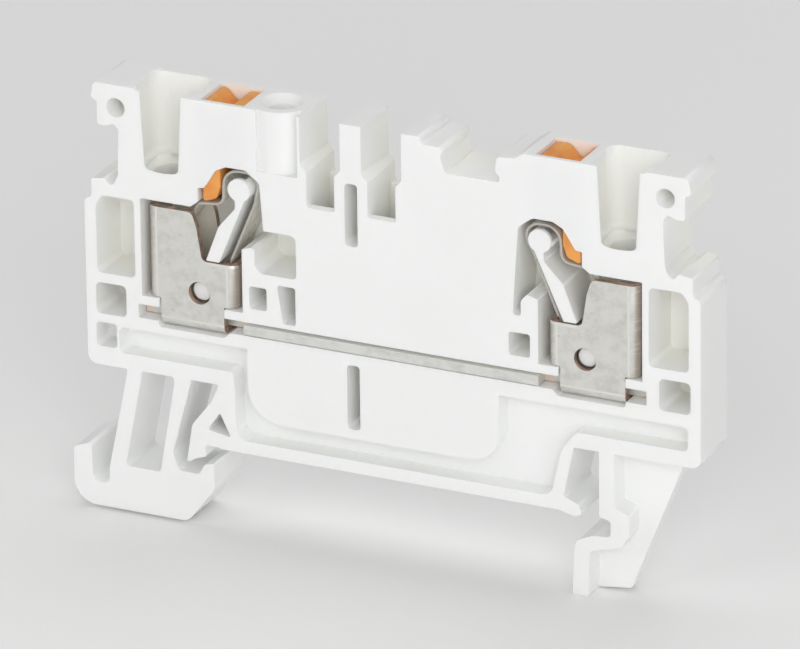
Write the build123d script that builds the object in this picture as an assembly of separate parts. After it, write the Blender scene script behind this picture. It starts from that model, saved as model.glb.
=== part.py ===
from build123d import *
import os

# Feed-through terminal block for a 35 mm rail, seen from its open side.
# X runs along the block, Y from the open side to the closed back, Z up from the feet.
# While modelling, X = 0 is the plane midway between the two clamping points.

# Housing, overall
block_width = 5.1
back_wall = 0.9
end_length = 4.9
skirt_height = 5.5
bar_rise = 4.65
tab_height = 3.35
tab_rise = 0.15

# Seat and feet on the rail
rail_width = 35.0
rail_flange = 1.0
rail_offset = 1.27
seat_height = 7.0
latch_grip = 1.5
latch_wall = 1.2
hook_reach = 0.75
latch_lift = 0.25
foot_length = 3.15
foot_web_front = 2.0
foot_web = 1.4

# Side grooves for a marker carrier, and the marker channel in the deck
shoulder_rise = 1.6
groove_width = 4.7
groove_depth = 3.15
marker_offset = 4.9
marker_length = 4.5
marker_depth = 2.7

# Wire funnels
funnel_offset = 2.35
funnel_y = 1.98
funnel_mouth_r = 2.67
funnel_foot_r = 2.45
funnel_rise = 3.0
funnel_corner = 0.5
funnel_back_corner = 1.1
wire_hole_r = 1.6
wire_hole_y = 2.23

# Current bar
bar_height = 0.8
bar_end = 0.75
bar_depth = 4.1
bar_neck_length = 9.1
bar_neck_front = 1.3
bar_neck_depth = 2.1
bar_gap_above = 0.3

# Clamp cages, folded from one sheet
cage_x = 17.2
cage_width = 7.7
cage_sheet = 0.5
cage_bend = 0.8
cage_front = 0.25
cage_depth = 3.9
mouth_width = 3.15
cage_side_height = 7.65
cage_shelf_height = 3.65
cage_foot_height = 1.9
tongue_width = 5.5
cage_room = 0.45
cage_hole_d = 1.9
cage_hole_offset = 0.63
cage_hole_rise = 0.9
locating_pin_d = 1.6
locating_pin_front = 0.85

# Clamp springs and the posts that they hang on
post_inset = 4.33
post_rise = 2.62
post_r = 0.95
stem_width = 1.05
stem_lean_left = 1.9
stem_lean_right = 2.1
spring_sheet = 0.25
spring_play = 0.2
spring_front = 0.85
spring_width = 3.15
leg_width = 2.4

# Release pushers
pusher_inset = 0.37
pusher_width = 3.65
pusher_sink = 0.3
pusher_foot_rise = 1.05
pusher_travel = 1.5
front_skin = 0.4
slot_offset = 2.2
slot_depth = 1.1
slot_width = 2.0

# Jumper shafts, test shaft, peg holes and cored pockets
shaft_offset = 5.8
shaft_pitch = 5.25
shaft_width = 3.45
shaft_neck = 2.4
shaft_mouth_depth = 4.15
shaft_sill_depth = 7.5
test_offset = 2.3
test_column_r = 2.45
test_column_height = 5.15
test_hole_r = 1.15
test_hole_depth = 4.75
test_bore_r = 0.75
peg_inset = 2.94
peg_depth = 1.75
peg_hole_d = 1.6
slot_pocket_width = 1.1
panel_left = -12.4
panel_right = 9.3
panel_recess = 1.7

# Clearance between a metal piece and the plastic or metal that holds it
play = 0.05

# Places along the block, from the plane midway between the clamping points
inner_width = block_width - back_wall
cage_left = cage_x - cage_width / 2
cage_right = cage_x + cage_width / 2
mouth_x = cage_left + mouth_width
cage_hole_x = cage_x - cage_hole_offset
chamber_outer = cage_right + cage_room
chamber_inner = cage_left - cage_room - 0.2
half_length = chamber_outer + end_length
latch_reach = half_length + latch_grip
funnel_x = cage_x + funnel_offset
post_x = cage_x - post_inset
pusher_left = post_x - pusher_inset
pusher_right = pusher_left + pusher_width
slot_x = pusher_left + slot_offset
bar_half_length = cage_right + bar_end
bar_wide_half = bar_half_length - bar_neck_length
peg_x = half_length - peg_inset
test_x = test_offset - pusher_left
left_flange_x = rail_offset - rail_width / 2
right_flange_x = rail_offset + rail_width / 2

# Heights above the feet
arm_floor = seat_height + skirt_height
bar_floor = arm_floor + bar_rise
slot_top = bar_floor + bar_height + bar_gap_above
cage_shoulder = bar_floor + cage_foot_height
cage_shelf = cage_shoulder + cage_shelf_height
cage_top = cage_shoulder + cage_side_height
cage_hole_z = cage_shoulder + cage_hole_rise
post_z = cage_top + post_rise
pusher_foot = cage_top + pusher_foot_rise
funnel_floor = cage_top + funnel_rise
groove_low = cage_top + shoulder_rise
groove_high = groove_low + groove_width
deck_top = groove_high + tab_height
pusher_top = deck_top - pusher_sink
marker_floor = deck_top - marker_depth
shaft_step = deck_top - shaft_mouth_depth
shaft_sill = deck_top - shaft_sill_depth
test_hole_end = deck_top - test_hole_depth
peg_z = deck_top - peg_depth

# The block's own middle, which the finished parts are moved to
middle_x = (half_length - latch_reach) / 2


def outline(*corners):
    """Closed outline facing the open side, from (across, height, corner radius) points."""
    points = [(corner[0], corner[1]) for corner in corners]
    radii = [corner[2] if len(corner) > 2 else 0 for corner in corners]
    return Plane.XZ * make_face(FilletPolyline(*points, radius=radii, close=True))


def box_outline(left, right, low, high, radius=0.0):
    """Upright rectangle facing the open side, with equal corners."""
    return outline((left, low, radius), (right, low, radius), (right, high, radius), (left, high, radius))


def disc(x, z, radius):
    """Round outline facing the open side."""
    return Plane.XZ * Pos(x, z) * Circle(radius)


def slab(face, front=0.0, back=block_width):
    """Solid between two depths behind the open side."""
    return Pos(0, front, 0) * extrude(face, amount=front - back)


def mirrored(shape):
    """The same shape at the clamping point on the other side."""
    return mirror(shape, about=Plane.YZ)


def side_corners():
    """Corners of the right end, from the arm's underside up to the tab."""
    wall = half_length - groove_depth
    lip = half_length - 0.65
    return [
        (half_length, arm_floor, 0.8),
        (half_length, groove_low - 1.85, 0.5),
        (lip, groove_low - 1.45, 0.3),
        (lip, groove_low, 0.2),
        (wall + 1.35, groove_low + 0.2, 0.3),
        (wall + 0.7, groove_low - 0.55, 0.35),
        (wall + 0.15, groove_low + 0.6, 0.4),
        (wall, groove_high - 0.2, 0.3),
        (wall + 0.4, groove_high + 0.25, 0.2),
        (wall + 1.15, groove_high - 0.05, 0.2),
        (wall + 1.85, groove_high, 0.2),
        (wall + 1.85, groove_high + 1.95, 0.15),
        (wall + 2.35, groove_high + 2.2, 0.15),
        (wall + 2.15, deck_top + tab_rise, 0.5),
        (wall - 1.4, deck_top + tab_rise, 0.1),
        (wall - 1.5, deck_top),
    ]


def body_outline():
    """Upper body between the two ends, with the marker channel and the jumper gaps."""
    right = side_corners()
    left = [(-x, z, *rest) for x, z, *rest in reversed(right)]
    marker_left = marker_offset
    marker_right = marker_left + marker_length
    deck = [
        (marker_right + 2.1, deck_top, 0.5),
        (marker_right + 1.45, deck_top - 0.5, 0.4),
        (marker_right - 0.1, deck_top - 0.6, 0.3),
        (marker_right - 0.25, marker_floor + 0.9, 0.2),
        (marker_right + 0.1, marker_floor + 0.5, 0.15),
        (marker_right + 0.1, marker_floor, 0.1),
        (marker_left, marker_floor, 0.1),
        (marker_left - 0.4, marker_floor + 1.3, 0.2),
        (marker_left - 0.1, deck_top - 0.6, 0.3),
        (marker_left - 2.0, deck_top - 0.6, 0.2),
        (marker_left - 2.1, deck_top, 0.3),
    ]
    return outline(*right, *deck, *left)


def rail_block_outline():
    """Middle of the underside, with the face that lies on the rail."""
    left = left_flange_x
    right = right_flange_x - 4.4
    return outline(
        (left + 1.2, arm_floor + 1.0),
        (left + 1.2, arm_floor - 0.25, 0.2),
        (left + 0.6, arm_floor - 1.6, 0.5),
        (left - 1.1, seat_height + 1.7, 1.2),
        (left - 1.65, seat_height - 1.7, 0.15),
        (left - 0.9, seat_height - rail_flange - 0.2, 0.3),
        (left, seat_height - rail_flange + 0.1, 0.1),
        (left, seat_height + 0.1, 0.1),
        (left + 1.3, seat_height + 0.1),
        (left + 1.45, seat_height),
        (right, seat_height, 0.2),
        (right + 1.3, seat_height - 0.35, 0.3),
        (right + 2.0, seat_height - 0.1, 0.3),
        (right + 1.7, seat_height + 0.7, 0.3),
        (right + 0.4, seat_height + 1.2, 0.3),
        (right + 1.1, arm_floor - 1.0, 0.5),
        (right + 1.3, arm_floor, 0.2),
        (right + 1.3, arm_floor + 1.0),
    )


def fixed_foot_outlines():
    """Right foot, which hooks under the rail: the thin web and its full-depth rib."""
    wall = right_flange_x - 0.97
    toe = right_flange_x - foot_length
    under = seat_height - rail_flange - 0.6
    hook = [
        (wall, seat_height, 0.1),
        (right_flange_x, seat_height - 0.25, 0.3),
        (right_flange_x, under, 0.3),
        (wall - 0.5, under - 0.1, 0.4),
        (toe + 0.2, under - 0.75, 0.8),
        (toe, under - 2.0, 0.5),
        (toe - 0.1, 0.0, 0.15),
    ]
    web = outline(
        *hook,
        (toe + 0.75, 0.0, 0.1),
        (toe + 4.05, 0.45, 0.3),
        (toe + 8.8, arm_floor, 0.4),
        (toe + 8.8, arm_floor + 0.5),
        (wall, arm_floor + 0.5),
    )
    rib = outline(
        *hook,
        (toe + 1.25, 0.0, 0.1),
        (toe + 1.35, under - 1.5, 0.4),
        (toe + 4.1, under - 0.7, 0.6),
        (toe + 4.75, seat_height - 1.2, 0.6),
        (toe + 4.7, seat_height + 0.5, 0.3),
        (toe + 3.45, seat_height + 1.0, 0.3),
        (toe + 3.45, arm_floor + 0.5),
        (wall, arm_floor + 0.5),
    )
    return web, rib


def latch_outline():
    """Springy left foot: a looped arm with a finger grip outside and the rail hook inside."""
    heel = seat_height - rail_flange - 0.4
    tip = left_flange_x + hook_reach
    inner = left_flange_x - 1.1
    outer = 3.4 - half_length
    loop = outline(
        (outer, arm_floor + 0.5),
        (outer, arm_floor - 0.4, 0.4),
        (outer - 1.75, heel - 2.0, 0.5),
        (outer - 1.75, heel - 3.35, 0.55),
        (outer - 3.25, heel - 3.35, 0.55),
        (1.6 - latch_reach, heel, 0.3),
        (-latch_reach, heel - 0.6, 0.4),
        (-latch_reach, latch_lift, 2.0),
        (tip - 2.4, latch_lift, 1.0),
        (tip, heel - 2.2, 1.2),
        (tip, heel, 0.1),
        (tip - 0.85, heel - 0.2, 0.4),
        (tip - 1.3, heel - 1.1, 0.4),
        (tip - 3.1, heel - 1.1, 0.4),
        (tip - 3.6, heel + 0.4, 0.6),
        (inner - 0.1, arm_floor - 0.4, 0.3),
        (inner, arm_floor + 0.5),
    )
    wall = inner - latch_wall
    window = outline(
        (outer + 1.25, arm_floor, 0.2),
        (outer + 1.25, arm_floor - 0.6, 0.4),
        (outer - 0.3, heel - 1.5, 0.3),
        (wall - 1.7, heel - 1.5, 0.3),
        (wall - 0.3, arm_floor - 0.5, 0.4),
        (wall - 0.4, arm_floor, 0.2),
    )
    return loop, window


def chamber_outline():
    """Clamping chamber at the right: round the spring's loop, down the cage to the bar."""
    loop_r = post_r + spring_play + spring_sheet + 0.4
    return outline(
        (chamber_outer, cage_top + 0.6, 0.1),
        (mouth_x + 0.6, cage_top + 0.6, 0.3),
        (mouth_x - 0.05, cage_top + 1.1, 0.2),
        (mouth_x - 0.05, cage_top + 2.3, 0.1),
        (mouth_x - 0.6, cage_top + 2.35, 0.3),
        (post_x + 2.0, post_z + 1.35, 0.4),
        (post_x + 1.1, post_z + loop_r, 0.5),
        (post_x - 0.6, post_z + loop_r, 0.8),
        (post_x - loop_r, post_z + 0.9, 0.5),
        (post_x - loop_r - 0.15, post_z - 1.2, 0.5),
        (chamber_inner - 2.15, cage_shelf + 0.1, 0.2),
        (chamber_inner - 1.45, cage_shelf + 0.1, 0.2),
        (chamber_inner - 1.45, cage_shelf + 1.4, 0.6),
        (chamber_inner - 0.9, cage_shelf + 2.0, 0.3),
        (chamber_inner, cage_shelf + 1.7, 0.1),
        (chamber_inner, slot_top),
        (chamber_inner, bar_floor + 0.3),
        (chamber_inner + 1.2, bar_floor - 0.1, 0.2),
        (cage_x - tongue_width / 2 - 0.1, bar_floor - cage_sheet - 0.05, 0.2),
        (cage_x + tongue_width / 2 + 0.1, bar_floor - cage_sheet - 0.05, 0.2),
        (cage_x + tongue_width / 2 + 0.15, bar_floor - play, 0.1),
        (chamber_outer, bar_floor - play, 0.1),
    )


def post_outline(lean):
    """Post inside the spring's loop, on a stem that leans out this far down to the cage."""
    foot = post_x + lean
    stem = outline(
        (post_x - 0.6, post_z - 0.5),
        (foot - 0.1, cage_shelf + 0.25, 0.1),
        (foot + stem_width, cage_shelf + 0.25, 0.1),
        (foot + stem_width - 1.15, cage_shelf + 3.3, 0.8),
        (post_x + 0.35, post_z - 1.6, 0.3),
        (post_x + 0.35, post_z - 0.4),
    )
    return stem + disc(post_x, post_z, post_r)


def funnel_plan(radius):
    """Plan of a wire funnel: round towards the open side, squarer at the back."""
    back = Pos(0, radius / 2) * Rectangle(2 * radius, radius)
    back = fillet(back.vertices().group_by(Axis.Y)[-1], funnel_back_corner)
    return Circle(radius) + back


def clamp_cuts(lean):
    """What one clamping point cuts out of the housing, at the right, with its post's lean."""
    deck = deck_top + tab_rise
    mouth = Pos(0, 0, deck - funnel_floor) * funnel_plan(funnel_mouth_r)
    cone = loft([funnel_plan(funnel_foot_r), mouth], ruled=True)
    cone = fillet(cone.edges().group_by(Axis.Z)[0], funnel_corner)
    funnel = Pos(funnel_x, funnel_y, funnel_floor) * cone
    bore = extrude(Circle(wire_hole_r), funnel_floor - cage_top + 1)
    wire_hole = Pos(funnel_x, wire_hole_y, cage_top) * bore
    lead = Solid.make_cone(wire_hole_r, wire_hole_r + 0.6, 0.6)
    lead_in = Pos(funnel_x, wire_hole_y, funnel_floor - 0.6) * lead
    shaft = slab(
        box_outline(pusher_left - play, pusher_right + play, post_z, deck + 1),
        front_skin,
        inner_width,
    )
    foot_room = slab(
        box_outline(post_x + 1.7, mouth_x, pusher_foot - 0.3, post_z + 2.0),
        front_skin,
        inner_width,
    )
    chamber = slab(chamber_outline() - post_outline(lean), 0, inner_width)
    window = slab(outline(
        (chamber_outer + 0.55, groove_low - 7.9, 0.4),
        (half_length - 1.0, groove_low - 7.9, 0.4),
        (half_length - 1.0, groove_low - 2.1, 0.7),
        (half_length - 1.6, groove_low - 1.3, 0.4),
        (chamber_outer + 0.55, groove_low - 1.3, 0.4),
    ), 0, inner_width)
    low_window = slab(
        box_outline(chamber_outer + 1.4, half_length - 0.85, groove_low - 11.4, groove_low - 8.75, 0.4),
        0,
        inner_width,
    )
    peg_hole = slab(disc(peg_x, peg_z, peg_hole_d / 2), 0, inner_width)
    return [funnel, lead_in, wire_hole, shaft, foot_room, chamber, window, low_window, peg_hole]


def jumper_cuts():
    """Two shafts for a plug-in bridge: open through both faces above, pockets below."""
    cuts = []
    for row in range(2):
        x = row * shaft_pitch - shaft_offset
        neck = shaft_neck / 2
        wide = shaft_width / 2
        mouth = outline(
            (x - wide, deck_top + 1),
            (x - wide, shaft_step + 0.2, 0.3),
            (x - neck, shaft_step - 0.4, 0.2),
            (x - neck, shaft_sill + 1.3, 0.3),
            (x + neck, shaft_sill + 1.3, 0.3),
            (x + neck, shaft_step - 0.4, 0.2),
            (x + wide, shaft_step + 0.2, 0.3),
            (x + wide, deck_top + 1),
        )
        cuts.append(slab(mouth))
        cuts.append(slab(box_outline(x - neck, x + neck, shaft_sill, shaft_sill + 2, 0.1), 0, inner_width))
        deep = box_outline(x - neck, x + neck, slot_top + 1.0, shaft_sill + 2)
        cuts.append(slab(deep, front_skin * 2, inner_width))
    return cuts


def test_shaft_cuts():
    """Round test shaft: a bulging column face, a dished mouth and the shaft down to the pocket."""
    face_left = test_x - 1.15
    face_right = test_x + test_column_r
    low = deck_top - test_column_height
    block = slab(box_outline(face_left, face_right, low, deck_top + 1), 0, test_column_r / 2)
    column = Pos(test_x, test_column_r, low) * extrude(Circle(test_column_r), test_column_height + 1)
    dish = Pos(test_x, block_width / 2, deck_top + 0.9) * Sphere(1.95)
    centre = block_width / 2
    socket = Pos(test_x, centre, test_hole_end) * extrude(Circle(test_hole_r), deck_top - test_hole_end)
    bore = Pos(test_x, centre, cage_shelf) * extrude(Circle(test_bore_r), deck_top - cage_shelf)
    return [block - column, dish, socket, bore]


def pocket_cuts():
    """Cored pockets in the open face."""
    inner = chamber_inner
    floor = bar_floor
    cuts = [
        outline(
            (-inner + 1.1, cage_top - 0.45),
            (-inner + 4.7, cage_top - 0.45, 0.5),
            (-inner + 4.7, cage_shelf - 0.1, 0.3),
            (-inner + 1.6, cage_shelf - 0.1, 0.3),
            (-inner + 1.1, cage_shelf + 0.5, 0.3),
        ),
        box_outline(-inner + 0.6, -inner + 2.1, floor + 2.35, floor + 4.25, 0.2),
        box_outline(inner - 2.5, inner - 0.7, floor + 2.25, floor + 4.2, 0.2),
        outline(
            (-inner + 3.0, floor + 4.7, 0.2),
            (-inner + 4.6, floor + 4.7, 0.2),
            (-inner + 4.6, floor + 1.5, 0.2),
            (-inner + 3.5, floor + 1.5, 0.2),
        ),
    ]
    middle = shaft_pitch / 2 - shaft_offset
    half = slot_pocket_width / 2
    cuts.append(box_outline(middle - half, middle + half, shaft_sill - 2.65, shaft_sill + 2.6, 0.3))
    cuts.append(box_outline(middle - half, middle + half, arm_floor - 1.8, bar_floor - 1.0, 0.3))
    cuts.append(outline(
        (left_flange_x + 1.35, seat_height + 3.1, 0.1),
        (left_flange_x + 0.25, seat_height + 1.5, 0.1),
        (left_flange_x + 2.3, seat_height + 1.15, 0.1),
    ))
    small = box_outline(0.8 - half_length, 2.6 - half_length, arm_floor + 1.6, arm_floor + 3.65, 0.3)
    return [slab(face, 0, inner_width) for face in cuts] + [slab(small, 0, inner_width / 2)]


def panel_cuts():
    """Shallow recess in the lower face that leaves the middle panel standing."""
    arm_low = arm_floor + 1.3
    arm_high = arm_floor + 3.4
    recess = outline(
        (-half_length + 2.8, arm_low, 0.4),
        (panel_left - 1.2, arm_low, 0.5),
        (panel_left - 1.0, seat_height + 1.05, 1.0),
        (panel_right + 4.4, seat_height + 1.05, 1.0),
        (panel_right + 5.3, arm_floor - 0.4, 0.8),
        (panel_right + 6.6, arm_low, 0.8),
        (half_length - 1.1, arm_low, 0.4),
        (half_length - 1.1, arm_high - 0.1, 0.4),
        (panel_right - 1.0, arm_high - 0.1),
        (panel_left + 2.5, arm_high + 0.1),
        (-half_length + 2.8, arm_high + 0.1, 0.4),
    )
    panel = outline(
        (panel_left, arm_high + 1.0),
        (panel_left, seat_height + 2.9, 3.0),
        (panel_right, seat_height + 2.9, 2.6),
        (panel_right, arm_high + 1.0),
    )
    return [slab(recess - panel, 0, panel_recess)]


def bar_cuts():
    """Slot that the current bar lies in."""
    reach = bar_half_length + play
    slot = box_outline(-reach, reach, bar_floor - play, slot_top)
    return [slab(slot, 0, inner_width)]


def bar_nibs():
    """Blocks beside each cage tongue that hold the bar down, at the right."""
    low = slot_top
    high = cage_shoulder - 0.05
    tongue = tongue_width / 2 + 0.1
    outer = box_outline(cage_x + tongue, chamber_outer + 0.3, low, high, 0.1)
    inner = box_outline(chamber_inner - 0.3, cage_x - tongue, low, high, 0.1)
    return [slab(outer, 0.05, inner_width + 0.1), slab(inner, 0.05, inner_width + 0.1)]


def locating_pin():
    """Round pin from the back wall through the cage's two holes, at the right."""
    face = disc(cage_hole_x, cage_hole_z, locating_pin_d / 2)
    return slab(face, locating_pin_front, inner_width + 0.1)


def make_housing():
    """One moulding: the body, the fixed foot and the springy latch foot."""
    web, rib = fixed_foot_outlines()
    loop, window = latch_outline()
    housing = slab(body_outline()) + slab(rail_block_outline()) + slab(rib) + slab(loop)
    housing += slab(web, foot_web_front, foot_web_front + foot_web)
    housing -= slab(window)
    cuts = clamp_cuts(stem_lean_right) + [mirrored(cut) for cut in clamp_cuts(stem_lean_left)]
    cuts += jumper_cuts() + test_shaft_cuts() + pocket_cuts() + panel_cuts() + bar_cuts()
    for cut in cuts:
        housing -= cut
    inside = bar_nibs() + [locating_pin()]
    for block in inside + [mirrored(block) for block in inside]:
        housing += block
    return housing


def make_bar():
    """Flat current bar with a narrower neck at each end."""
    floor = bar_floor
    middle = box_outline(-bar_wide_half, bar_wide_half, floor, floor + bar_height)
    neck = box_outline(-bar_half_length, bar_half_length, floor, floor + bar_height)
    return slab(middle, 0.02, bar_depth) + slab(neck, bar_neck_front, bar_neck_front + bar_neck_depth)


def make_cage():
    """Right clamp cage: a folded sheet box, open at the top, hooked under the bar."""
    left = cage_left
    right = cage_right
    tongue = tongue_width / 2
    foot = bar_floor - cage_sheet
    profile = outline(
        (right, cage_top, 0.15),
        (mouth_x + 0.65, cage_top, 0.5),
        (mouth_x + 0.25, cage_top - 1.2, 0.5),
        (mouth_x - 0.2, cage_shelf, 0.5),
        (left, cage_shelf, 0.3),
        (left, cage_shoulder, 0.2),
        (cage_x - tongue, cage_shoulder, 0.1),
        (cage_x - tongue, foot, 0.1),
        (cage_x + tongue, foot, 0.1),
        (cage_x + tongue, cage_shoulder, 0.1),
        (right, cage_shoulder, 0.2),
    )
    back = cage_front + cage_depth
    body = slab(profile, cage_front, back)
    plan = Pos(cage_x, (cage_front + back) / 2, 0) * RectangleRounded(cage_width, cage_depth, cage_bend)
    bore = Pos(cage_x, (cage_front + back) / 2, 0) * RectangleRounded(
        cage_width - 2 * cage_sheet, cage_depth - 2 * cage_sheet, cage_bend - cage_sheet
    )
    height = cage_top - foot
    body = body & Pos(0, 0, foot) * extrude(plan, height)
    body -= Pos(0, 0, bar_floor) * extrude(bore, height)
    corners = [(cage_front, foot), (back, foot), (back, cage_top), (cage_front, cage_top)]
    bend = [cage_bend, cage_bend, 0, 0]
    end = Plane.YZ * make_face(FilletPolyline(*corners, radius=bend, close=True))
    body &= Pos(left, 0, 0) * extrude(end, cage_width)
    return body - slab(disc(cage_hole_x, cage_hole_z, cage_hole_d / 2))


def make_spring():
    """Right clamp spring: one bent strip, looped over the post with its two legs down."""
    half = spring_sheet / 2
    loop_r = post_r + spring_play + half
    tip_x = cage_right - cage_sheet - 0.45
    path = [
        (post_x + 1.78, cage_shelf - 0.8),
        (post_x - loop_r - 0.35, post_z + 0.6),
        (post_x - loop_r + 0.45, post_z + loop_r + 0.2),
        (post_x + loop_r, post_z + loop_r + 0.15),
        (post_x + loop_r + 0.3, pusher_foot - 0.03),
        (mouth_x + 0.2, pusher_foot - 0.3),
        (tip_x, cage_shelf - 0.35),
        (tip_x - 0.55, cage_shelf - 1.45),
    ]
    radii = [0.9, 1.1, 1.2, 0.75, 0.9, 0.4]
    line = FilletPolyline(*path, radius=radii)
    strip = Plane.XZ * trace(line, spring_sheet)
    full = slab(strip, spring_front, spring_front + spring_width)
    middle = cage_front + cage_depth / 2
    narrow = slab(strip, middle - leg_width / 2, middle + leg_width / 2)
    open_zone = slab(box_outline(post_x - 4, mouth_x - 0.35, cage_shelf + 0.15, post_z + 4))
    return narrow + (full & open_zone)


def make_pusher():
    """Right release pusher: a slotted head and a foot lobe beside the spring's loop."""
    left = pusher_left
    right = pusher_right
    loop_r = post_r + spring_play + spring_sheet
    lobe = post_x + loop_r + 0.4
    shoulder = post_z + loop_r + pusher_travel + 0.45
    side = outline(
        (left, pusher_top, 0.2),
        (slot_x - slot_width / 2, pusher_top, 0.7),
        (slot_x, pusher_top - slot_depth, 0.3),
        (slot_x + slot_width / 2, pusher_top, 0.6),
        (right, pusher_top, 0.15),
        (right, pusher_foot, 0.2),
        (lobe + 0.35, pusher_foot + 0.4, 0.5),
        (lobe, pusher_foot + 1.4, 0.5),
        (lobe, shoulder, 0.5),
        (left, shoulder, 0.3),
    )
    return slab(side, front_skin + play, inner_width - play)


def save(part, name):
    """Write one piece, moved so that X = 0 is the block's middle and Y = 0 its half width."""
    export_step(Pos(-middle_x, -block_width / 2, 0) * part, f"parts/{name}.step")


os.makedirs("parts", exist_ok=True)
save(make_housing(), "housing")
save(make_bar(), "current_bar")
for piece, name in (
    (make_cage(), "clamp_cage"),
    (make_spring(), "clamp_spring"),
    (make_pusher(), "release_pusher"),
):
    save(piece, f"{name}_right")
    save(mirrored(piece), f"{name}_left")
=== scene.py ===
"""Dresses a slim feed-through terminal block: its finishes, its clamp springs and its stand."""

import logging
import math
from dataclasses import dataclass
from enum import Enum
from typing import NamedTuple

import bmesh
import bpy
from mathutils import Matrix, Vector


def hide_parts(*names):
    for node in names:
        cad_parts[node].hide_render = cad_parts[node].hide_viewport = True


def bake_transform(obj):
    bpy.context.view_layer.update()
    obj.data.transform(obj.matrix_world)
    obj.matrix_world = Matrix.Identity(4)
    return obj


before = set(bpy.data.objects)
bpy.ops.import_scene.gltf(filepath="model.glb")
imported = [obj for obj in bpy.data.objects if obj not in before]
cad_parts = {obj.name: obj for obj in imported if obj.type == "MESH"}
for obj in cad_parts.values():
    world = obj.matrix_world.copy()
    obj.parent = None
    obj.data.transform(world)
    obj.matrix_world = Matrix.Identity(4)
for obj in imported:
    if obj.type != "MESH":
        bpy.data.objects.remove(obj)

LOG = logging.getLogger("terminal_block")
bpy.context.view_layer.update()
MILLIMETRE = 0.001
JOINED_WITHIN = 0.002
SHARP_TURN = math.radians(40)


class Side(Enum):
    """The two clamping points, seen from the block's open side."""

    LEFT = "left"
    RIGHT = "right"

    @property
    def sign(self) -> int:
        """+1 at the right, -1 at the left."""
        return 1 if self is Side.RIGHT else -1

    def name_of(self, piece: str) -> str:
        """Name of one of this side's pieces."""
        return f"{piece}_{self.value}"


@dataclass(frozen=True)
class Tone:
    """A colour as a painter's 0 to 255 steps of red, green and blue."""

    red: float
    green: float
    blue: float

    def paint(self) -> tuple[float, float, float, float]:
        """The colour in the linear light that the shaders work in.

        Returns:
            Red, green, blue and an alpha of 1.
        """
        steps = []
        for value in (self.red, self.green, self.blue):
            share = value / 255
            steps.append(share / 12.92 if share <= 0.04045 else ((share + 0.055) / 1.055) ** 2.4)
        return (*steps, 1.0)


class Ramp(NamedTuple):
    """A smooth change: where it starts and ends, and the levels before and after it."""

    low: float
    high: float
    before: float = 0.0
    after: float = 1.0


class Clouds(NamedTuple):
    """A cloudy pattern: its grain in millimetres, its finer layers, their strength and its seed."""

    across: float
    deep: float
    tall: float
    layers: float
    strength: float
    seed: float


Socket = bpy.types.NodeSocket
Amount = float | Socket


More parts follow.
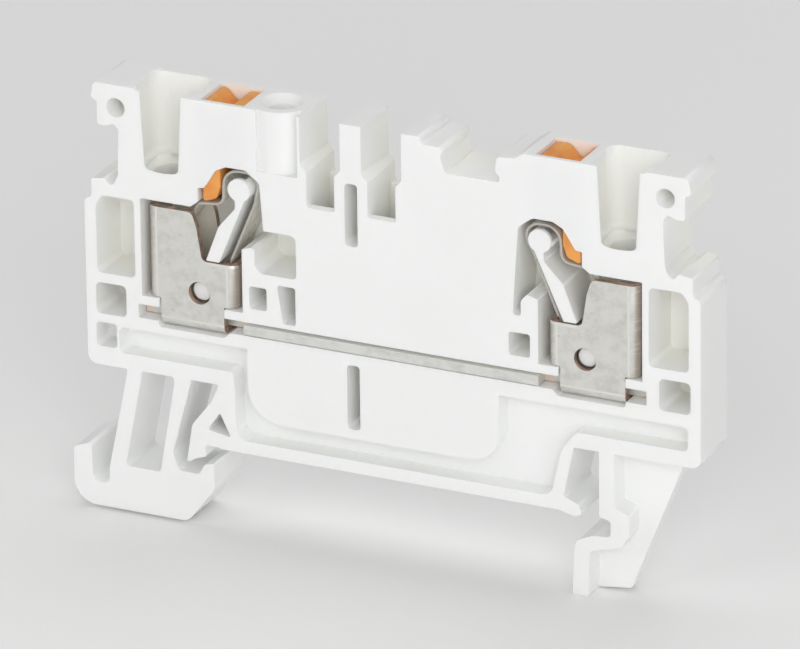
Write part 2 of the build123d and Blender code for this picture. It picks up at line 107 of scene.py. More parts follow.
class Recipe:
    """A material in the making, with a principled shader as its last step."""

    def __init__(self, name: str) -> None:
        """Start an empty material.

        Args:
            name: The finish in plain words.
        """
        self.material = bpy.data.materials.new(name)
        self.material.use_nodes = True
        self.tree = self.material.node_tree
        self.tree.nodes.clear()
        self.surface = self.tree.nodes.new("ShaderNodeBsdfPrincipled")
        output = self.tree.nodes.new("ShaderNodeOutputMaterial")
        self.tree.links.new(self.surface.outputs["BSDF"], output.inputs["Surface"])
        coordinates = self.tree.nodes.new("ShaderNodeTexCoord")
        self.place = coordinates.outputs["Object"]
        self.facing = self.tree.nodes.new("ShaderNodeNewGeometry").outputs["Normal"]

    def feed(self, socket: Socket, value: object) -> None:
        """Set an input, or link it where the value comes from another node.

        Args:
            socket: The input.
            value: A socket, a tone, a number or a tuple.
        """
        if isinstance(value, Socket):
            self.tree.links.new(value, socket)
        elif isinstance(value, Tone):
            socket.default_value = value.paint()
        else:
            socket.default_value = value

    def finish(self, **inputs: object) -> None:
        """Set the shader's own inputs.

        Args:
            **inputs: Input names with low lines for spaces, and their values.
        """
        for name, value in inputs.items():
            self.feed(self.surface.inputs[name.replace("_", " ")], value)

    def sum(self, operation: str, first: Amount, second: Amount = 0.0) -> Socket:
        """One step of arithmetic.

        Args:
            operation: Name of the operation, such as MULTIPLY.
            first: First number.
            second: Second number.

        Returns:
            The result.
        """
        node = self.tree.nodes.new("ShaderNodeMath")
        node.operation = operation
        self.feed(node.inputs[0], first)
        self.feed(node.inputs[1], second)
        return node.outputs[0]

    def parts(self, vector: Socket) -> tuple[Socket, Socket, Socket]:
        """The three parts of a vector.

        Args:
            vector: A place or a direction.

        Returns:
            Its X, Y and Z.
        """
        node = self.tree.nodes.new("ShaderNodeSeparateXYZ")
        self.feed(node.inputs[0], vector)
        return node.outputs[0], node.outputs[1], node.outputs[2]

    def step(self, value: Amount, ramp: Ramp) -> Socket:
        """A smooth change from one level to another.

        Args:
            value: What the change follows.
            ramp: The change.

        Returns:
            The level.
        """
        node = self.tree.nodes.new("ShaderNodeMapRange")
        node.interpolation_type = "SMOOTHSTEP"
        self.feed(node.inputs["Value"], value)
        for name, number in zip(("From Min", "From Max", "To Min", "To Max"), ramp):
            self.feed(node.inputs[name], number)
        return node.outputs["Result"]

    def noise(self, clouds: Clouds, shift: float = 0.0) -> Socket:
        """A cloudy pattern all over the piece.

        Args:
            clouds: The pattern.
            shift: Added to its seed, so that like pieces differ.

        Returns:
            A level from 0 to 1.
        """
        scaled = self.tree.nodes.new("ShaderNodeMapping")
        self.feed(scaled.inputs["Vector"], self.place)
        sizes = (clouds.across, clouds.deep, clouds.tall)
        scaled.inputs["Scale"].default_value = [1 / (size * MILLIMETRE) for size in sizes]
        node = self.tree.nodes.new("ShaderNodeTexNoise")
        node.noise_dimensions = "4D"
        self.feed(node.inputs["Vector"], scaled.outputs[0])
        node.inputs["W"].default_value = clouds.seed + shift
        node.inputs["Scale"].default_value = 1.0
        node.inputs["Detail"].default_value = clouds.layers
        node.inputs["Roughness"].default_value = clouds.strength
        return node.outputs[0]

    def mix(self, share: Amount, first: object, second: object) -> Socket:
        """Mix two colours.

        Args:
            share: How much of the second shows.
            first: First colour.
            second: Second colour.

        Returns:
            The mixed colour.
        """
        node = self.tree.nodes.new("ShaderNodeMix")
        node.data_type = "RGBA"
        self.feed(node.inputs[0], share)
        self.feed(node.inputs[6], first)
        self.feed(node.inputs[7], second)
        return node.outputs[2]

    def relief(self, height: Socket, depth: float, under: Socket | None = None) -> Socket:
        """Bump from a height.

        Args:
            height: Level from 0 to 1.
            depth: How deep the whole range is, in millimetres.
            under: Relief that this one lies on.

        Returns:
            The normal.
        """
        node = self.tree.nodes.new("ShaderNodeBump")
        node.inputs["Strength"].default_value = 1.0
        node.inputs["Distance"].default_value = depth * MILLIMETRE
        self.feed(node.inputs["Height"], height)
        if under is not None:
            self.feed(node.inputs["Normal"], under)
        return node.outputs[0]

    def both(self, first: Amount, second: Amount) -> Socket:
        """Level of a place that two conditions share."""
        return self.sum("MULTIPLY", first, second)

    def either(self, first: Amount, second: Amount) -> Socket:
        """Level of a place where one of two conditions holds."""
        return self.sum("MAXIMUM", first, second)

    def near(self, value: Socket, middle: float, reach: float, fade: float) -> Socket:
        """1 within reach of a middle, and 0 beyond.

        Args:
            value: The measured value.
            middle: Middle of the zone.
            reach: Half of its width.
            fade: Width of its soft edge.

        Returns:
            The level.
        """
        return self.step(self.away(value, middle), Ramp(reach, reach + fade, 1.0, 0.0))

    def away(self, value: Socket, middle: float) -> Socket:
        """Distance of a value from a middle, either way."""
        return self.sum("ABSOLUTE", self.sum("SUBTRACT", value, middle))

    def unsigned(self, value: Socket) -> Socket:
        """A value without its sign."""
        return self.sum("ABSOLUTE", value)


@dataclass(frozen=True)
class MouldedPlastic:
    """Pale moulded polyamide, satin outside, with painted light in its pockets: a warmer, brighter
    tone there. Lengths in metres.
    """

    skin: Tone = Tone(250, 251, 250)
    shade: Tone = Tone(247, 248, 245)
    # Painted light: a warm, bright tone on the pocket floors and walls, in place of light bouncing
    # round inside them.
    painted_pocket_light: Tone = Tone(254, 253, 245)
    floor_turn: Ramp = Ramp(-0.6, -0.9)
    floor_depth: Ramp = Ramp(0.0010, 0.0013)
    painted_floor_light_share: float = 0.8
    wall_turn: Ramp = Ramp(0.9, 0.7)
    wall_depth: Ramp = Ramp(-0.0024, 0.0012)
    painted_wall_light_share: float = 0.9
    body_middle: float = 0.00075
    body_reach: float = 0.0252
    body_fade: float = 0.0006
    above_feet: Ramp = Ramp(0.0125, 0.0135)
    below_deck: Ramp = Ramp(0.0359, 0.0354)
    cloudy: Clouds = Clouds(7, 7, 7, 2.0, 0.5, 1.3)
    shaded: Ramp = Ramp(0.35, 0.7, 0.0, 0.5)
    grain: Clouds = Clouds(0.09, 0.09, 0.09, 2.0, 0.6, 4.1)
    grain_depth: float = 0.0035
    waves: Clouds = Clouds(3.2, 3.2, 2.4, 1.0, 0.4, 7.7)
    wave_depth: float = 0.05
    sheen: Clouds = Clouds(1.4, 1.4, 1.4, 3.0, 0.55, 2.2)
    satin: Ramp = Ramp(0.3, 0.7, 0.38, 0.5)

    def painted_pocket_light_level(self, recipe: Recipe) -> Socket:
        """Where the painted light of the pockets shows: how far each place lies down in a pocket.

        Args:
            recipe: The material in the making.

        Returns:
            A level from 0 to 1.
        """
        across, deep, tall = recipe.parts(recipe.place)
        _, toward_back, _ = recipe.parts(recipe.facing)
        floors = recipe.both(
            recipe.step(toward_back, self.floor_turn),
            recipe.step(deep, self.floor_depth),
        )
        inside = recipe.both(
            recipe.near(across, self.body_middle, self.body_reach, self.body_fade),
            recipe.both(recipe.step(tall, self.above_feet), recipe.step(tall, self.below_deck)),
        )
        walls = recipe.both(inside, recipe.both(
            recipe.step(deep, self.wall_depth),
            recipe.step(recipe.unsigned(toward_back), self.wall_turn),
        ))
        return recipe.either(
            recipe.both(floors, self.painted_floor_light_share), recipe.both(walls, self.painted_wall_light_share),
        )

    def material(self) -> bpy.types.Material:
        """Make the finish.

        Returns:
            The material.
        """
        recipe = Recipe("moulded_polyamide")
        shaded = recipe.step(recipe.noise(self.cloudy), self.shaded)
        skin = recipe.mix(shaded, self.skin, self.shade)
        waves = recipe.relief(recipe.noise(self.waves), self.wave_depth)
        recipe.finish(
            # Painted light: the pockets get a warmer, brighter colour than the outer skin.
            Base_Color=recipe.mix(self.painted_pocket_light_level(recipe), skin, self.painted_pocket_light),
            Roughness=recipe.step(recipe.noise(self.sheen), self.satin),
            Normal=recipe.relief(recipe.noise(self.grain), self.grain_depth, waves),
            Subsurface_Weight=0.4,
            Subsurface_Radius=(1.0, 0.97, 0.85),
            Subsurface_Scale=0.0006,
            IOR=1.5,
            Specular_IOR_Level=0.42,
        )
        return recipe.material


@dataclass(frozen=True)
class PlatedSheet:
    """Folded tin-plated copper sheet with bare cut edges and stains, painted highlights along its
    folds, painted dark reflections on faces turned sideways and painted light on deep inner faces.
    Lengths in metres.
    """

    middle_x: float
    seed: float = 0.0
    plating: Tone = Tone(224, 223, 218)
    dull: Tone = Tone(200, 199, 192)
    stain: Tone = Tone(140, 128, 114)
    # Painted highlight: a bright tone on lines along the folds and the shelf's edge.
    painted_highlight: Tone = Tone(240, 239, 234)
    # Painted reflection: a dark brownish tone in streaks on faces turned sideways, such as bends
    # and side walls, in place of the dark reflections there.
    painted_side_reflection: Tone = Tone(176, 160, 143)
    copper: Tone = Tone(198, 160, 141)
    # Painted light: deep inner faces of the cage that face the open side get this bright warm tone
    # and less metal, as if lit through the hole.
    inside: Tone = Tone(245, 238, 224)
    face_turn: Ramp = Ramp(0.25, 0.4)
    side_zone: Ramp = Ramp(0.00295, 0.00305)
    side_turn: Ramp = Ramp(0.45, 0.3)
    foot_zone: Ramp = Ramp(0.01765, 0.01755)
    foot_turn: Ramp = Ramp(0.0, -0.1)
    inside_depth: Ramp = Ramp(0.0009, 0.0011)
    inside_turn: Ramp = Ramp(-0.6, -0.8)
    side_fold: float = 0.00305
    foot_fold: float = 0.01745
    fold_half: float = 0.00005
    shelf_edge: float = 0.02256
    shelf_half: float = 0.00008
    shelf_zone: Ramp = Ramp(0.0010, 0.0016)
    highlight_fade: float = 0.00008
    cloudy: Clouds = Clouds(1.1, 1.1, 0.9, 4.0, 0.62, 0.4)
    dulled: Ramp = Ramp(0.4, 0.75, 0.0, 0.75)
    rolled: Clouds = Clouds(2.6, 2.6, 0.16, 3.0, 0.6, 3.9)
    streaked: Ramp = Ramp(0.55, 0.8, 0.0, 0.3)
    spots: Clouds = Clouds(0.32, 0.32, 0.3, 3.0, 0.7, 8.3)
    spotted: Ramp = Ramp(0.62, 0.74, 0.0, 0.4)
    side_reflection_turn: Ramp = Ramp(0.25, 0.8, 0.0, 0.7)
    side_reflection_streaks: Ramp = Ramp(0.25, 0.5)
    highlight_patchiness: Ramp = Ramp(0.3, 0.6, 0.25, 0.75)
    cut_wear: Clouds = Clouds(0.8, 0.5, 0.8, 2.0, 0.5, 5.0)
    cut_stained: Ramp = Ramp(0.4, 0.62)
    fine: Clouds = Clouds(0.9, 0.9, 0.05, 2.0, 0.6, 6.0)
    fine_depth: float = 0.003
    dents: Clouds = Clouds(0.7, 0.7, 0.7, 2.0, 0.5, 9.1)
    dent_depth: float = 0.02
    metal: Ramp = Ramp(0.0, 1.0, 0.45, 0.1)
    satin: Ramp = Ramp(0.3, 0.7, 0.34, 0.5)

    def plated(self, recipe: Recipe) -> Socket:
        """Where the plated faces show, and not the cut edges.

        Args:
            recipe: The material in the making.

        Returns:
            1 on a face and 0 on a cut edge.
        """
        across, _, tall = recipe.parts(recipe.place)
        _, turn_y, turn_z = recipe.parts(recipe.facing)
        sides = recipe.both(
            recipe.step(recipe.away(across, self.middle_x), self.side_zone),
            recipe.step(recipe.unsigned(turn_z), self.side_turn),
        )
        foot = recipe.both(recipe.step(tall, self.foot_zone), recipe.step(turn_z, self.foot_turn))
        faces = recipe.step(recipe.unsigned(turn_y), self.face_turn)
        return recipe.either(faces, recipe.either(sides, foot))

    def painted_highlight_lines(self, recipe: Recipe) -> Socket:
        """The lines along the folds and the shelf's edge that get a painted highlight.

        Args:
            recipe: The material in the making.

        Returns:
            1 on such a line.
        """
        across, _, tall = recipe.parts(recipe.place)
        _, turn_y, _ = recipe.parts(recipe.facing)
        folds = recipe.either(
            recipe.near(
                recipe.away(across, self.middle_x), self.side_fold, self.fold_half, self.highlight_fade,
            ),
            recipe.near(tall, self.foot_fold, self.fold_half, self.highlight_fade),
        )
        inward = recipe.both(
            recipe.sum("SUBTRACT", across, self.middle_x), -math.copysign(1.0, self.middle_x),
        )
        shelf = recipe.both(
            recipe.near(tall, self.shelf_edge, self.shelf_half, self.highlight_fade),
            recipe.step(inward, self.shelf_zone),
        )
        faces = recipe.step(recipe.unsigned(turn_y), self.face_turn)
        return recipe.both(recipe.either(folds, shelf), faces)

    def material(self, name: str) -> bpy.types.Material:
        """Make the finish.

        Args:
            name: Name of the finish.

        Returns:
            The material.
        """
        recipe = Recipe(name)
        _, deep, _ = recipe.parts(recipe.place)
        turn_x, turn_y, _ = recipe.parts(recipe.facing)
        cloudy = recipe.noise(self.cloudy, self.seed)
        rolled = recipe.noise(self.rolled, self.seed)
        spots = recipe.noise(self.spots, self.seed)
        plating = recipe.mix(recipe.step(cloudy, self.dulled), self.plating, self.dull)
        plating = recipe.mix(recipe.step(rolled, self.streaked), plating, self.dull)
        plating = recipe.mix(recipe.step(spots, self.spotted), plating, self.stain)
        # Painted reflection: streaks of a dark brownish tone on the faces turned sideways.
        turned = recipe.both(
            recipe.step(recipe.unsigned(turn_x), self.side_reflection_turn),
            recipe.step(rolled, self.side_reflection_streaks),
        )
        plating = recipe.mix(turned, plating, self.painted_side_reflection)
        # Painted highlight along the folds and the shelf's edge, patchy with the clouds.
        painted_highlight = recipe.both(self.painted_highlight_lines(recipe), recipe.step(cloudy, self.highlight_patchiness))
        plating = recipe.mix(painted_highlight, plating, self.painted_highlight)
        # Painted light on the deep inner faces that face the open side, which are also made less
        # metallic.
        painted_inner_light = recipe.both(
            recipe.step(deep, self.inside_depth), recipe.step(turn_y, self.inside_turn),
        )
        plating = recipe.mix(painted_inner_light, plating, self.inside)
        stained = recipe.step(recipe.noise(self.cut_wear, self.seed), self.cut_stained)
        cut = recipe.mix(stained, self.copper, self.stain)
        dents = recipe.relief(recipe.noise(self.dents, self.seed), self.dent_depth)
        recipe.finish(
            Base_Color=recipe.mix(self.plated(recipe), cut, plating),
            Metallic=recipe.step(painted_inner_light, self.metal),
            Roughness=recipe.step(cloudy, self.satin),
            Normal=recipe.relief(recipe.noise(self.fine, self.seed), self.fine_depth, dents),
        )
        return recipe.material


@dataclass(frozen=True)
class PlatedBar:
    """Tin-plated copper strip, bare copper at its necks and ends, with painted light on its top
    faces. Lengths in metres.
    """

    plating: Tone = Tone(228, 229, 225)
    dull: Tone = Tone(203, 203, 196)
    # Painted light: a pale tone on the top faces, which lie in the shadowed slot above the bar.
    painted_top_light: Tone = Tone(247, 247, 242)
    copper: Tone = Tone(245, 224, 210)
    middle_x: float = 0.00075
    neck_zone: Ramp = Ramp(0.01265, 0.0128)
    patch_zone: Ramp = Ramp(0.0140, 0.0136)
    end_zone: Ramp = Ramp(0.0213, 0.0216)
    neck_turn: Ramp = Ramp(0.2, 0.4)
    under_turn: Ramp = Ramp(-0.2, -0.5)
    top_turn: Ramp = Ramp(0.5, 0.8)
    blotchy: Clouds = Clouds(0.5, 0.4, 0.3, 3.0, 0.6, 2.0)
    blotch_reach: float = 0.0006
    blotched: Ramp = Ramp(0.25, 0.45)
    cloudy: Clouds = Clouds(1.6, 1.0, 0.8, 3.0, 0.6, 5.0)
    dulled: Ramp = Ramp(0.4, 0.75, 0.0, 0.8)
    rolled: Clouds = Clouds(3.0, 0.2, 0.1, 3.0, 0.6, 1.0)
    streaked: Ramp = Ramp(0.5, 0.8, 0.0, 0.4)
    rolled_depth: float = 0.006
    metal: Ramp = Ramp(0.0, 1.0, 0.45, 0.1)
    satin: Ramp = Ramp(0.3, 0.7, 0.3, 0.45)

    def bare(self, recipe: Recipe) -> Socket:
        """Where the copper is bare.

        Args:
            recipe: The material in the making.

        Returns:
            1 where it is bare.
        """
        across, _, _ = recipe.parts(recipe.place)
        _, turn_y, turn_z = recipe.parts(recipe.facing)
        from_middle = recipe.away(across, self.middle_x)
        blotchy = recipe.noise(self.blotchy)
        ragged = recipe.sum("ADD", from_middle, recipe.both(blotchy, self.blotch_reach))
        under = recipe.step(turn_z, self.under_turn)
        neck = recipe.both(
            recipe.step(from_middle, self.neck_zone),
            recipe.step(recipe.either(recipe.unsigned(turn_y), under), self.neck_turn),
        )
        patch = recipe.step(ragged, self.patch_zone)
        end = recipe.step(ragged, self.end_zone)
        uncovered = recipe.both(neck, recipe.either(patch, recipe.either(end, under)))
        return recipe.both(uncovered, recipe.step(blotchy, self.blotched))

    def material(self) -> bpy.types.Material:
        """Make the finish.

        Returns:
            The material.
        """
        recipe = Recipe("plated_copper_strip")
        _, _, turn_z = recipe.parts(recipe.facing)
        rolled = recipe.noise(self.rolled)
        cloudy = recipe.noise(self.cloudy)
        plating = recipe.mix(recipe.step(cloudy, self.dulled), self.plating, self.dull)
        plating = recipe.mix(recipe.step(rolled, self.streaked), plating, self.dull)
        # Painted light: the top faces get a pale tone and less metal.
        top = recipe.step(turn_z, self.top_turn)
        plating = recipe.mix(top, plating, self.painted_top_light)
        recipe.finish(
            Base_Color=recipe.mix(self.bare(recipe), plating, self.copper),
            Metallic=recipe.step(top, self.metal),
            Roughness=recipe.step(cloudy, self.satin),
            Normal=recipe.relief(rolled, self.rolled_depth),
        )
        return recipe.material


@dataclass(frozen=True)
class SpringStrip:
    """Bright rolled spring strip with darker sheared edges."""

    bright: Tone = Tone(230, 227, 219)
    dull: Tone = Tone(202, 198, 187)
    sheared: Tone = Tone(192, 189, 183)
    edge_turn: Ramp = Ramp(0.6, 0.85)
    cloudy: Clouds = Clouds(1.5, 0.9, 1.5, 3.0, 0.6, 3.0)
    dulled: Ramp = Ramp(0.35, 0.75, 0.0, 0.7)
    lines: Clouds = Clouds(2.0, 0.06, 2.0, 3.0, 0.6, 6.0)
    lined: Ramp = Ramp(0.5, 0.8, 0.0, 0.35)
    line_depth: float = 0.003
    satin: Ramp = Ramp(0.3, 0.7, 0.26, 0.4)

    def material(self) -> bpy.types.Material:
        """Make the finish.

        Returns:
            The material.
        """
        recipe = Recipe("rolled_spring_strip")
        _, turn_y, _ = recipe.parts(recipe.facing)
        edge = recipe.step(recipe.unsigned(turn_y), self.edge_turn)
        cloudy = recipe.noise(self.cloudy)
        lines = recipe.noise(self.lines)
        strip = recipe.mix(recipe.step(cloudy, self.dulled), self.bright, self.dull)
        strip = recipe.mix(recipe.step(lines, self.lined), strip, self.dull)
        recipe.finish(
            Base_Color=recipe.mix(edge, strip, self.sheared),
            Metallic=0.35,
            Roughness=recipe.step(cloudy, self.satin),
            Normal=recipe.relief(lines, self.line_depth),
        )
        return recipe.material


@dataclass(frozen=True)
class PusherPlastic:
    """Orange moulded plastic with a soft gloss."""

    bright: Tone = Tone(243, 172, 92)
    deep: Tone = Tone(230, 148, 74)
    cloudy: Clouds = Clouds(2.5, 2.5, 2.5, 2.0, 0.5, 1.0)
    deepened: Ramp = Ramp(0.35, 0.7)
    grain: Clouds = Clouds(0.08, 0.08, 0.08, 2.0, 0.6, 2.0)
    grain_depth: float = 0.003
    waves: Clouds = Clouds(1.2, 1.2, 1.2, 1.0, 0.5, 3.0)
    wave_depth: float = 0.03
    satin: Ramp = Ramp(0.3, 0.7, 0.42, 0.55)

    def material(self) -> bpy.types.Material:
        """Make the finish.

        Returns:
            The material.
        """
        recipe = Recipe("orange_moulding")
        deepened = recipe.step(recipe.noise(self.cloudy), self.deepened)
        grain = recipe.noise(self.grain)
        waves = recipe.relief(recipe.noise(self.waves), self.wave_depth)
        recipe.finish(
            Base_Color=recipe.mix(deepened, self.bright, self.deep),
            Roughness=recipe.step(grain, self.satin),
            Normal=recipe.relief(grain, self.grain_depth, waves),
            Specular_IOR_Level=0.35,
            Subsurface_Weight=0.2,
            Subsurface_Radius=(1.0, 0.5, 0.2),
            Subsurface_Scale=0.0004,
        )
        return recipe.material


@dataclass(frozen=True)
class PaleTable:
    """Plain pale table top, with a painted shade that makes it a little darker towards the back.
    Lengths in metres.
    """

    near_tone: Tone = Tone(253, 253, 252)
    # Painted shade: the table darkens slightly towards the back.
    painted_far_shade: Tone = Tone(251, 251, 251)
    cloud_tone: Tone = Tone(251, 251, 250)
    behind: Ramp = Ramp(-0.05, 0.06)
    cloudy: Clouds = Clouds(60, 60, 60, 2.0, 0.5, 1.0)
    clouded: Ramp = Ramp(0.3, 0.7, 0.0, 0.25)

    def material(self) -> bpy.types.Material:
        """Make the finish.

        Returns:
            The material.
        """
        recipe = Recipe("pale_table_top")
        _, deep, _ = recipe.parts(recipe.place)
        # Painted shade: darker towards the back.
        base = recipe.mix(recipe.step(deep, self.behind), self.near_tone, self.painted_far_shade)
        clouded = recipe.step(recipe.noise(self.cloudy), self.clouded)
        recipe.finish(
            Base_Color=recipe.mix(clouded, base, self.cloud_tone),
            Roughness=0.75,
            Specular_IOR_Level=0.2,
        )
        return recipe.material


def dress(piece: bpy.types.Object, finish: bpy.types.Material) -> None:
    """Give a whole piece one finish.

    Args:
        piece: The piece.
        finish: Its material.
    """
    piece.data.materials.clear()
    piece.data.materials.append(finish)


def ease_edges(piece: bpy.types.Object, width: float) -> None:
    """Round a piece's sharp edges a little, as moulding and tumbling do.

    Args:
        piece: The piece.
        width: Width of the rounding, in millimetres.
    """
    weld = piece.modifiers.new("joined_faces", "WELD")
    weld.merge_threshold = JOINED_WITHIN * MILLIMETRE
    bevel = piece.modifiers.new("eased_edges", "BEVEL")
    bevel.width = width * MILLIMETRE
    bevel.segments = 2
    bevel.limit_method = "ANGLE"
    bevel.angle_limit = SHARP_TURN
    bevel.use_clamp_overlap = True
    bevel.harden_normals = True


@dataclass
class Housing:
    """The pale moulding that carries everything."""

    edge: float = 0.07

    def dress(self) -> None:
        """Finish the moulding and ease its edges."""
        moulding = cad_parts["housing"]
        dress(moulding, MouldedPlastic().material())
        ease_edges(moulding, self.edge)
        LOG.info("housing dressed")


@dataclass
class CurrentBar:
    """The flat bar from clamp to clamp."""

    edge: float = 0.06

    def dress(self) -> None:
        """Finish the bar and ease its edges."""
        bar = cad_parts["current_bar"]
        dress(bar, PlatedBar().material())
        ease_edges(bar, self.edge)
        LOG.info("current_bar dressed")


@dataclass
class ClampSpring:
    """Strip spring looped over its post, which in the real block gives under the pusher. Lengths in
    millimetres.

    Corners are (outward from the middle between the clamps, height, bend radius), from the foot of
    the leg that leans on the housing, over the loop, to the tip that presses the wire. Edges are
    the depths of the strip's front and back edge behind the open side.
    """

    side: Side
    corners: tuple[tuple[float, float, float], ...] = (
        (14.48, 21.9, 0.0),
        (11.84, 28.2, 1.2),
        (11.3, 29.9, 0.9),
        (12.15, 30.7, 1.1),
        (14.38, 30.65, 1.3),
        (14.5, 27.7, 0.75),
        (16.7, 27.45, 0.9),
        (20.1, 22.35, 0.4),
        (19.55, 21.25, 0.0),
    )
    loop_first: int = 2
    right_loop_shift: tuple[tuple[float, float], ...] = ((0.1, -0.1), (0.15, -0.2), (0.0, -0.15))
    middle: float = 0.75
    half_depth: float = 2.55
    sheet: float = 0.2
    loop_edges: tuple[float, float] = (0.5, 4.0)
    leg_edges: tuple[float, float] = (0.85, 4.0)
    foot_edges: tuple[float, float] = (1.0, 3.4)
    leg_from: tuple[float, float] = (12.87, 28.9)
    leg_slope: float = 0.35
    wide_from_height: float = 22.85
    wide_to_reach: float = 16.7
    shoulder: float = 0.12
    leg_taper: float = 0.9
    run: float = 0.16
    arc_step: float = 9.0
    rounding: float = 0.05
    quarter_parts: int = 3
    bend_start: tuple[float, float] = (14.0, 28.3)
    bend_end: tuple[float, float] = (14.98, 28.5)

    def bend(self, before: Vector, corner: Vector, after: Vector, radius: float) -> list[Vector]:
        """Points of the arc that rounds one corner.

        Args:
            before: The corner before it.
            corner: The corner.
            after: The corner after it.
            radius: Radius of the bend.

        Returns:
            Points along the arc, from its start to its end.
        """
        inward = (before - corner).normalized()
        onward = (after - corner).normalized()
        turn = math.pi - inward.angle(onward)
        cut = radius * math.tan(turn / 2)
        centre = corner + (inward + onward).normalized() * math.hypot(radius, cut)
        start = corner + inward * cut - centre
        way = 1 if inward.x * onward.y - inward.y * onward.x < 0 else -1
        count = max(2, math.ceil(math.degrees(turn) / self.arc_step))
        points = []
        for step in range(count + 1):
            angle = way * turn * step / count
            points.append(centre + Vector((
                start.x * math.cos(angle) - start.y * math.sin(angle),
                start.x * math.sin(angle) + start.y * math.cos(angle),
            )))
        return points

    def centreline(self) -> list[Vector]:
        """Close points along the middle of the sheet.

        Returns:
            Points as outward reach and height.
        """
        ends = [Vector(corner[:2]) for corner in self.corners]
        if self.side is Side.RIGHT:
            for index, shift in enumerate(self.right_loop_shift, self.loop_first):
                ends[index] += Vector(shift)
        marks = [ends[0]]
        for index in range(1, len(ends) - 1):
            before, corner, after = ends[index - 1:index + 2]
            marks += self.bend(before, corner, after, self.corners[index][2])
        marks.append(ends[-1])
        line = [marks[0]]
        for mark in marks[1:]:
            start = line[-1]
            count = max(1, math.ceil((mark - start).length / self.run))
            line += [start.lerp(mark, step / count) for step in range(1, count + 1)]
        return line

    def edges(self, point: Vector) -> tuple[float, float]:
        """How far back the strip's two edges lie at a point: the ends are narrower than the loop.

        Args:
            point: Outward reach and height.

        Returns:
            Depths of the front and the back edge behind the open side.
        """
        reach, height = self.leg_from
        drop = height - point.y
        on_leg = point.x < reach + drop * self.leg_slope
        leg = min(1.0, max(0.0, drop / self.leg_taper)) if on_leg else 0.0
        inside = min(point.y - self.wide_from_height, self.wide_to_reach - point.x)
        foot = min(1.0, max(0.0, 0.5 - inside / self.shoulder))
        depths = []
        for loop_edge, leg_edge, foot_edge in zip(self.loop_edges, self.leg_edges, self.foot_edges):
            wide = loop_edge + (leg_edge - loop_edge) * leg
            depths.append(wide + (foot_edge - wide) * foot)
        return depths[0], depths[1]

    def ring(self, front: float, back: float) -> list[tuple[float, float]]:
        """Rounded section of the strip as offsets across the sheet and depths.

        Args:
            front: Depth of the front edge.
            back: Depth of the back edge.

        Returns:
            Points round the section.
        """
        half = self.sheet / 2 - self.rounding
        centres = (
            (half, back - self.rounding), (-half, back - self.rounding),
            (-half, front + self.rounding), (half, front + self.rounding),
        )
        points = []
        for quarter, (across, deep) in enumerate(centres):
            for step in range(self.quarter_parts + 1):
                angle = math.pi / 2 * (quarter + step / self.quarter_parts)
                points.append((
                    across + self.rounding * math.cos(angle),
                    deep + self.rounding * math.sin(angle),
                ))
        return points

    def place(self, reach: float, deep: float, height: float) -> tuple[float, float, float]:
        """A point of the block in metres, from its reach, depth and height."""
        across = self.middle + self.side.sign * reach
        return across * MILLIMETRE, (deep - self.half_depth) * MILLIMETRE, height * MILLIMETRE

    def build(self) -> bpy.types.Object:
        """Make the strip.

        Returns:
            The piece.
        """
        line = self.centreline()
        form = bmesh.new()
        rings = []
        for index, point in enumerate(line):
            before, after = line[max(index - 1, 0)], line[min(index + 1, len(line) - 1)]
            ahead = (after - before).normalized()
            across = Vector((-ahead.y, ahead.x))
            ring = []
            for offset, deep in self.ring(*self.edges(point)):
                spot = point + across * offset
                ring.append(form.verts.new(self.place(spot.x, deep, spot.y)))
            rings.append(ring)
        for first, second in zip(rings, rings[1:]):
            for corners in zip(first, first[1:] + first[:1], second[1:] + second[:1], second):
                form.faces.new(corners)
        form.faces.new(rings[0])
        form.faces.new(rings[-1])
        bmesh.ops.recalc_face_normals(form, faces=form.faces)
        mesh = bpy.data.meshes.new(self.side.name_of("bent_spring_strip"))
        form.to_mesh(mesh)
        form.free()
        mesh.shade_smooth()
        mesh.set_sharp_from_angle(angle=SHARP_TURN)
        piece = bpy.data.objects.new(self.side.name_of("bent_spring_strip"), mesh)
        bpy.context.scene.collection.objects.link(piece)
        return piece

    def dress(self) -> None:
        """Build the strip in the place of the CAD spring."""
        piece = self.build()
        dress(piece, SpringStrip().material())
        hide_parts(self.side.name_of("clamp_spring"))
        start, end = (self.place(reach, self.half_depth, height)
                      for reach, height in (self.bend_start, self.bend_end))
        self.side.name_of("pusher")
        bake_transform(piece)
        LOG.info("%s built", piece.name)


@dataclass
class ClampPoint:
    """One clamping point: its cage, its spring and its release pusher. Lengths in millimetres."""

    side: Side
    middle: float = 0.75
    cage_offset: float = 17.2
    cage_seed: float = 20.0
    cage_edge: float = 0.08
    pusher_edge: float = 0.12

    def across(self, reach: float) -> float:
        """Place along the block, in metres, of a point this far out from the middle."""
        return (self.middle + self.side.sign * reach) * MILLIMETRE

    def dress_cage(self) -> None:
        """Finish the folded cage."""
        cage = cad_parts[self.side.name_of("clamp_cage")]
        sheet = PlatedSheet(self.across(self.cage_offset), self.cage_seed * self.side.sign)
        dress(cage, sheet.material(f"plated_sheet_{self.side.value}"))
        ease_edges(cage, self.cage_edge)

    def dress_pusher(self) -> None:
        """Finish the pusher."""
        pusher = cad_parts[self.side.name_of("release_pusher")]
        dress(pusher, PusherPlastic().material())
        ease_edges(pusher, self.pusher_edge)

    def dress(self) -> None:
        """Finish all pieces of this clamping point."""
        self.dress_cage()
        self.dress_pusher()
        ClampSpring(self.side).dress()
        LOG.info("clamp point %s dressed", self.side.value)


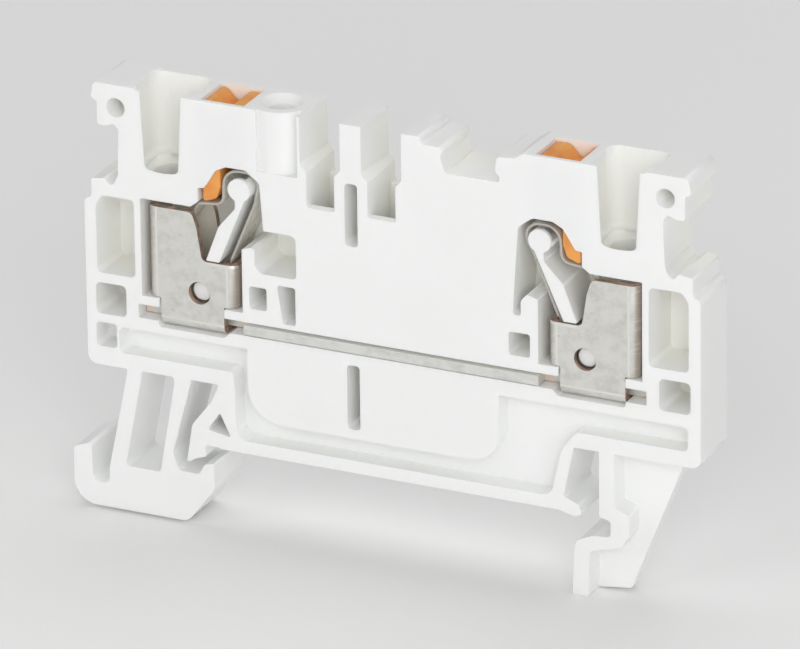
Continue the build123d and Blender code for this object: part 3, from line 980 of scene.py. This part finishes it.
@dataclass(frozen=True)
class Lamp:
    """A square soft lamp that points at the block. Lengths in metres.

    Its level says how bright it alone makes a white sheet that faces it, 1 being white.
    """

    name: str
    place: tuple[float, float, float]
    size: float
    level: float
    aim: tuple[float, float, float] = (0.0, 0.0, 0.018)

    def hang(self) -> None:
        """Put the lamp in its place."""
        place = Vector(self.place)
        data = bpy.data.lights.new(self.name, "AREA")
        data.size = self.size
        data.energy = self.level * math.pi ** 2 * place.length_squared
        lamp = bpy.data.objects.new(self.name, data)
        lamp.location = place
        lamp.rotation_euler = (Vector(self.aim) - place).to_track_quat("-Z", "Y").to_euler()
        bpy.context.scene.collection.objects.link(lamp)


@dataclass
class Studio:
    """Pale table, soft light all round and four large soft lamps."""

    table_size: float = 4.0
    table_parts: int = 8
    sky: float = 0.33
    lamps: tuple[Lamp, ...] = (
        Lamp("key_lamp", (-0.34, -0.52, 0.34), 0.40, 0.13),
        Lamp("front_lamp", (0.29, -0.62, 0.30), 0.42, 0.285),
        Lamp("right_lamp", (0.52, -0.42, 0.26), 0.50, 0.14),
        Lamp("top_lamp", (0.0, 0.35, 0.90), 0.75, 0.28),
    )

    def lay_table(self) -> None:
        """Put the table top under the feet."""
        mesh = bpy.data.meshes.new("table_top")
        form = bmesh.new()
        parts = self.table_parts
        bmesh.ops.create_grid(form, x_segments=parts, y_segments=parts, size=self.table_size / 2)
        form.to_mesh(mesh)
        form.free()
        table = bpy.data.objects.new("table_top", mesh)
        bpy.context.scene.collection.objects.link(table)
        dress(table, PaleTable().material())

    def light(self) -> None:
        """Set the sky and hang the lamps."""
        world = bpy.data.worlds.new("studio_sky")
        bpy.context.scene.world = world
        world.use_nodes = True
        sky = world.node_tree.nodes["Background"]
        sky.inputs["Color"].default_value = (1.0, 1.0, 1.0, 1.0)
        sky.inputs["Strength"].default_value = self.sky
        for lamp in self.lamps:
            lamp.hang()


@dataclass
class Viewpoint:
    """The camera, where it stood for the photograph. Angles in radians, lengths in metres."""

    turn: float = 0.443509513
    height: float = 0.400935663
    roll: float = -0.0128397313
    target: tuple[float, float, float] = (0.0016683, -0.00255, 0.0203445)
    distance: float = 0.79849
    picture_width: int = 800
    focal_pixels: float = 10274.7554
    sensor_millimetres: float = 36.0
    sight: tuple[float, float] = (0.05, 20.0)

    def place(self) -> None:
        """Make the camera and look through it."""
        turn, height, roll = self.turn, self.height, self.roll
        ahead = Vector((
            -math.sin(turn) * math.cos(height),
            math.cos(turn) * math.cos(height),
            -math.sin(height),
        ))
        level = Vector((math.cos(turn), math.sin(turn), 0.0))
        upright = level.cross(ahead)
        right = level * math.cos(roll) + upright * math.sin(roll)
        above = upright * math.cos(roll) - level * math.sin(roll)
        data = bpy.data.cameras.new("viewpoint")
        data.sensor_width = self.sensor_millimetres
        data.lens = self.focal_pixels / self.picture_width * self.sensor_millimetres
        data.clip_start, data.clip_end = self.sight
        camera = bpy.data.objects.new("viewpoint", data)
        bpy.context.scene.collection.objects.link(camera)
        turned = Matrix((right, above, -ahead)).transposed().to_4x4()
        turned.translation = Vector(self.target) - ahead * self.distance
        camera.matrix_world = turned
        bpy.context.scene.camera = camera


def main() -> None:
    """Build the stand, the light and every piece of the block."""
    logging.basicConfig(level=logging.INFO, format="%(name)s: %(message)s")
    bpy.context.scene.view_settings.view_transform = "Standard"
    Viewpoint().place()
    studio = Studio()
    studio.lay_table()
    studio.light()
    Housing().dress()
    CurrentBar().dress()
    for side in Side:
        ClampPoint(side).dress()


if __name__ == "__main__":
    main()
